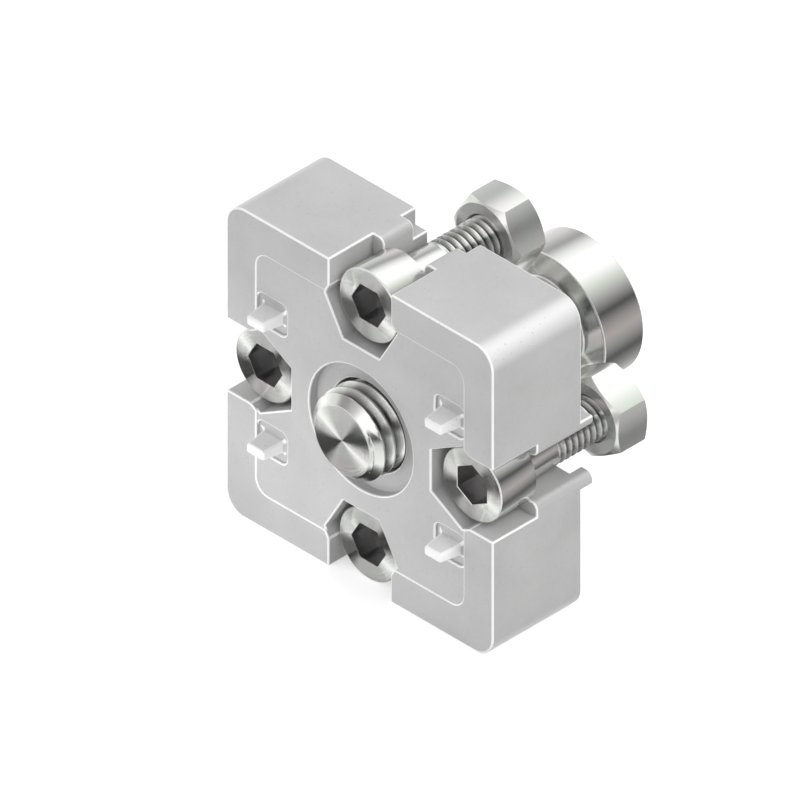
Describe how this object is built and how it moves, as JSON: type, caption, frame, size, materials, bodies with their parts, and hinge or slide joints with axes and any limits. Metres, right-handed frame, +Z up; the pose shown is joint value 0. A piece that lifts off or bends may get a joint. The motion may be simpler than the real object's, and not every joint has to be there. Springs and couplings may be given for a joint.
{
  "type": "butt connector",
  "caption": "Square die-cast connector half for joining framing profiles end to end, with slotted sides, hexagonal pockets, a centre bolt, cap screws and nuts.",
  "frame": {"origin": "on the centre bolt's axis, in the plane of the front face that meets the profile's end", "axes": "+Y from the front face to the back along the bolt and the screws, +X to the right as seen from the front, +Z up"},
  "size_m": [0.045, 0.0418, 0.045],
  "materials": {
    "die_cast": "satin",
    "bolt_steel": "satin",
    "screw_steel": "satin",
    "nut_steel": "satin"
  },
  "bodies": {
    "body": {"connector_body": "die_cast"},
    "bolt": {"centre_bolt": "bolt_steel"},
    "screw_top": {"cap_screw_top": "screw_steel"},
    "screw_right": {"cap_screw_right": "screw_steel"},
    "screw_bottom": {"cap_screw_bottom": "screw_steel"},
    "screw_left": {"cap_screw_left": "screw_steel"},
    "nut_top": {"hex_nut_top": "nut_steel"},
    "nut_right": {"hex_nut_right": "nut_steel"},
    "nut_bottom": {"hex_nut_bottom": "nut_steel"},
    "nut_left": {"hex_nut_left": "nut_steel"}
  },
  "joints": [
    {"name": "bolt_slide", "type": "slide", "parent": "body", "child": "bolt", "axis": [0, -1, 0], "range_m": [-0.01, 0.0244]},
    {"name": "screw_turn_top", "type": "hinge", "parent": "body", "child": "screw_top", "pos_m": [0, 0.0075, 0.0175], "axis": [0, 1, 0], "range_deg": [-1800, 2160]},
    {"name": "screw_turn_right", "type": "hinge", "parent": "body", "child": "screw_right", "pos_m": [0.0175, 0.0075, 0], "axis": [0, 1, 0], "range_deg": [-1800, 1440]},
    {"name": "screw_turn_bottom", "type": "hinge", "parent": "body", "child": "screw_bottom", "pos_m": [0, 0.0075, -0.0175], "axis": [0, 1, 0], "range_deg": [-1800, 2160]},
    {"name": "screw_turn_left", "type": "hinge", "parent": "body", "child": "screw_left", "pos_m": [-0.0175, 0.0075, 0], "axis": [0, 1, 0], "range_deg": [-1800, 1440]},
    {"name": "nut_travel_top", "type": "slide", "parent": "body", "child": "nut_top", "axis": [0, 1, 0], "range_m": [-0.00605, 0.00505]},
    {"name": "nut_travel_right", "type": "slide", "parent": "body", "child": "nut_right", "axis": [0, 1, 0], "range_m": [-0.00405, 0.00505]},
    {"name": "nut_travel_bottom", "type": "slide", "parent": "body", "child": "nut_bottom", "axis": [0, 1, 0], "range_m": [-0.00605, 0.00505]},
    {"name": "nut_travel_left", "type": "slide", "parent": "body", "child": "nut_left", "axis": [0, 1, 0], "range_m": [-0.00405, 0.00505]}
  ],
  "couplings": [
    {"joint": "nut_travel_top", "follows": "screw_turn_top", "m_per_rad": -0.00015915},
    {"joint": "nut_travel_right", "follows": "screw_turn_right", "m_per_rad": -0.00015915},
    {"joint": "nut_travel_bottom", "follows": "screw_turn_bottom", "m_per_rad": -0.00015915},
    {"joint": "nut_travel_left", "follows": "screw_turn_left", "m_per_rad": -0.00015915}
  ]
}
